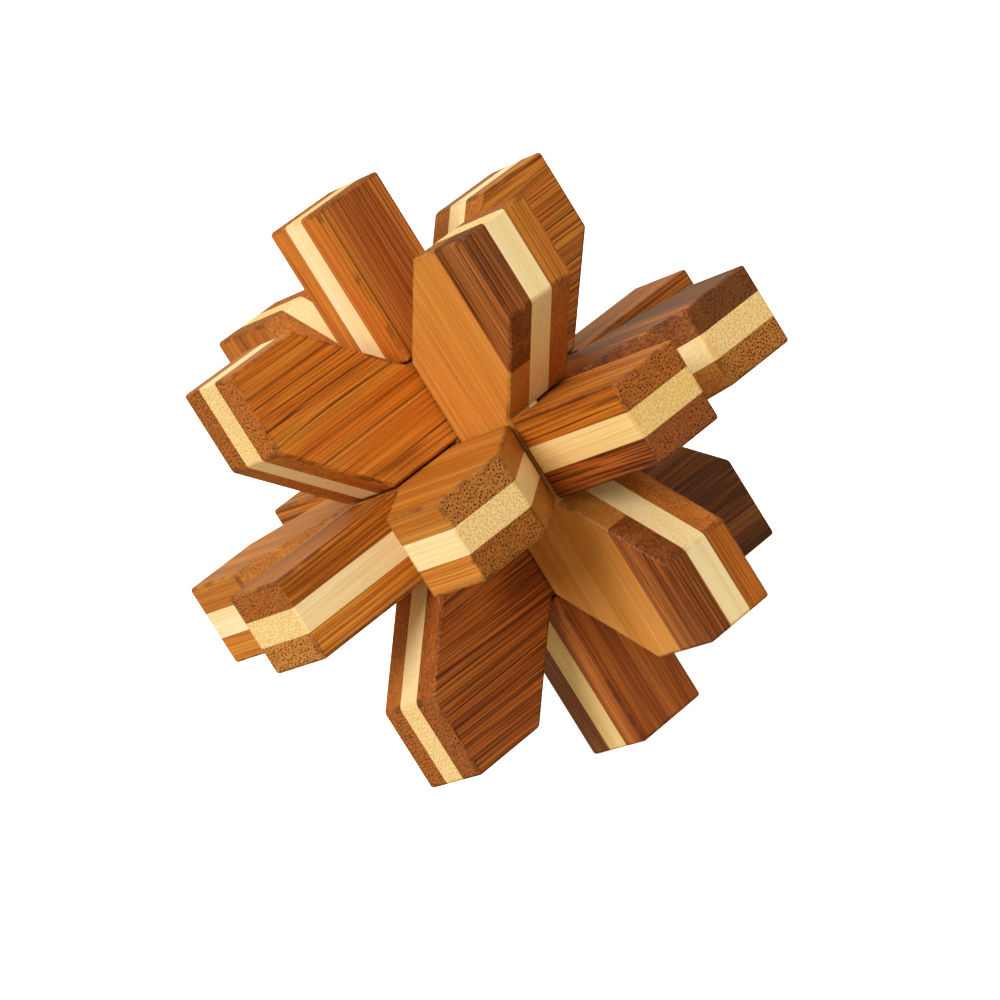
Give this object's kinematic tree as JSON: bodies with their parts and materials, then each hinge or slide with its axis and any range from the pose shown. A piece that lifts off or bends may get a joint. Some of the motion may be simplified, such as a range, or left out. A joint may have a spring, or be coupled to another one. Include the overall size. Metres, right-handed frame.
{
  "type": "burr puzzle",
  "caption": "Interlocking burr puzzle: bevelled double-petal sticks locked round three crossed square bars by a key peg, each stick laminated from dark and pale wood.",
  "frame": {"origin": "centre of the puzzle, where the axes of the three crossed bars meet", "axes": "+Z along the upright bar towards the key, +X and +Y along the other two bars; it stands on the end of the upright bar at -Z"},
  "size_m": [0.097, 0.097, 0.097],
  "materials": {
    "dark_bamboo": "caramelised bamboo, planed and waxed, satin",
    "pale_bamboo": "natural bamboo, planed and waxed, satin"
  },
  "bodies": {
    "frame": {"wing_bottom_long_ply": "dark_bamboo", "wing_bottom_pale_ply": "pale_bamboo", "wing_bottom_block_a": "dark_bamboo", "wing_bottom_block_b": "dark_bamboo", "wing_right_long_ply": "dark_bamboo", "wing_right_pale_ply": "pale_bamboo", "wing_right_block_a": "dark_bamboo", "wing_right_block_b": "dark_bamboo", "wing_left_long_ply": "dark_bamboo", "wing_left_pale_ply": "pale_bamboo", "wing_left_block_a": "dark_bamboo", "wing_left_block_b": "dark_bamboo", "bar_x_long_ply": "dark_bamboo", "bar_x_pale_ply": "pale_bamboo", "bar_x_block_a": "dark_bamboo", "bar_x_block_b": "dark_bamboo", "bar_y_long_ply": "dark_bamboo", "bar_y_pale_ply": "pale_bamboo", "bar_y_block_a": "dark_bamboo", "bar_y_block_b": "dark_bamboo", "upright_bar_long_ply": "dark_bamboo", "upright_bar_pale_ply": "pale_bamboo", "upright_bar_foot_block": "dark_bamboo"},
    "wing_front": {"wing_front_long_ply": "dark_bamboo", "wing_front_pale_ply": "pale_bamboo", "wing_front_block_a": "dark_bamboo", "wing_front_block_b": "dark_bamboo"},
    "wing_back": {"wing_back_long_ply": "dark_bamboo", "wing_back_pale_ply": "pale_bamboo", "wing_back_block_a": "dark_bamboo", "wing_back_block_b": "dark_bamboo"},
    "wing_top": {"wing_top_long_ply": "dark_bamboo", "wing_top_pale_ply": "pale_bamboo", "wing_top_block_a": "dark_bamboo", "wing_top_block_b": "dark_bamboo"},
    "key": {"key_long_ply": "dark_bamboo", "key_pale_ply": "pale_bamboo", "key_head_block": "dark_bamboo"}
  },
  "joints": [
    {"name": "front_lift", "type": "slide", "parent": "frame", "child": "wing_front", "axis": [0, 0, 1], "range_m": [0, 0.052]},
    {"name": "back_lift", "type": "slide", "parent": "frame", "child": "wing_back", "axis": [0, 0, 1], "range_m": [0, 0.052]},
    {"name": "top_lift", "type": "slide", "parent": "wing_front", "child": "wing_top", "axis": [0, 0, 1], "range_m": [0, 0.04]},
    {"name": "key_pull", "type": "slide", "parent": "wing_top", "child": "key", "axis": [0, 0, 1], "range_m": [0, 0.036]}
  ],
  "couplings": [
    {"joint": "back_lift", "follows": "front_lift", "ratio": 1}
  ]
}
